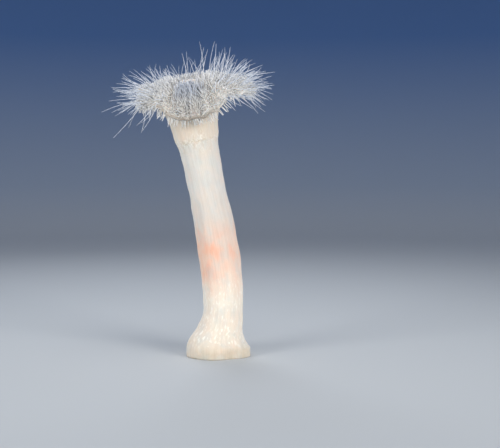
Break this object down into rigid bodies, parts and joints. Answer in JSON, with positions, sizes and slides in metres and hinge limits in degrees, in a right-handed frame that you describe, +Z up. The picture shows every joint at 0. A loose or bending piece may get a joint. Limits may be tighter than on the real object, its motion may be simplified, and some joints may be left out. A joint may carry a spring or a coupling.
{
  "type": "sea anemone",
  "caption": "Still, life-size plumose sea anemone: a slender curved column on a spreading foot, opening into a lobed crown of fine tentacles round a mouth.",
  "frame": {"origin": "centre of the sole of the foot, on the floor", "axes": "+Z up along the column, longest; front of the animal towards -Y, its left lobe towards -X, its right lobe towards +X"},
  "size_m": [0.0914, 0.0733, 0.1732],
  "materials": {
    "body_flesh": "soft wet translucent flesh, satin",
    "lip_flesh": "soft wet flesh, pleated",
    "tentacle_flesh": "soft wet translucent flesh, satin"
  },
  "bodies": {
    "root": {"pedal_disc": "body_flesh", "column_lower": "body_flesh", "column_middle": "body_flesh", "column_upper": "body_flesh", "collar": "body_flesh", "capitulum": "body_flesh", "oral_disc": "body_flesh", "mouth": "lip_flesh", "rear_right_lobe_1": "tentacle_flesh", "rear_right_lobe_2": "tentacle_flesh", "rear_left_lobe_1": "tentacle_flesh", "rear_left_lobe_2": "tentacle_flesh", "left_lobe_1": "tentacle_flesh", "left_lobe_2": "tentacle_flesh", "front_lobe_1": "tentacle_flesh", "front_lobe_2": "tentacle_flesh", "front_lobe_3": "tentacle_flesh", "right_lobe_1": "tentacle_flesh", "right_lobe_2": "tentacle_flesh"}
  },
  "joints": []
}
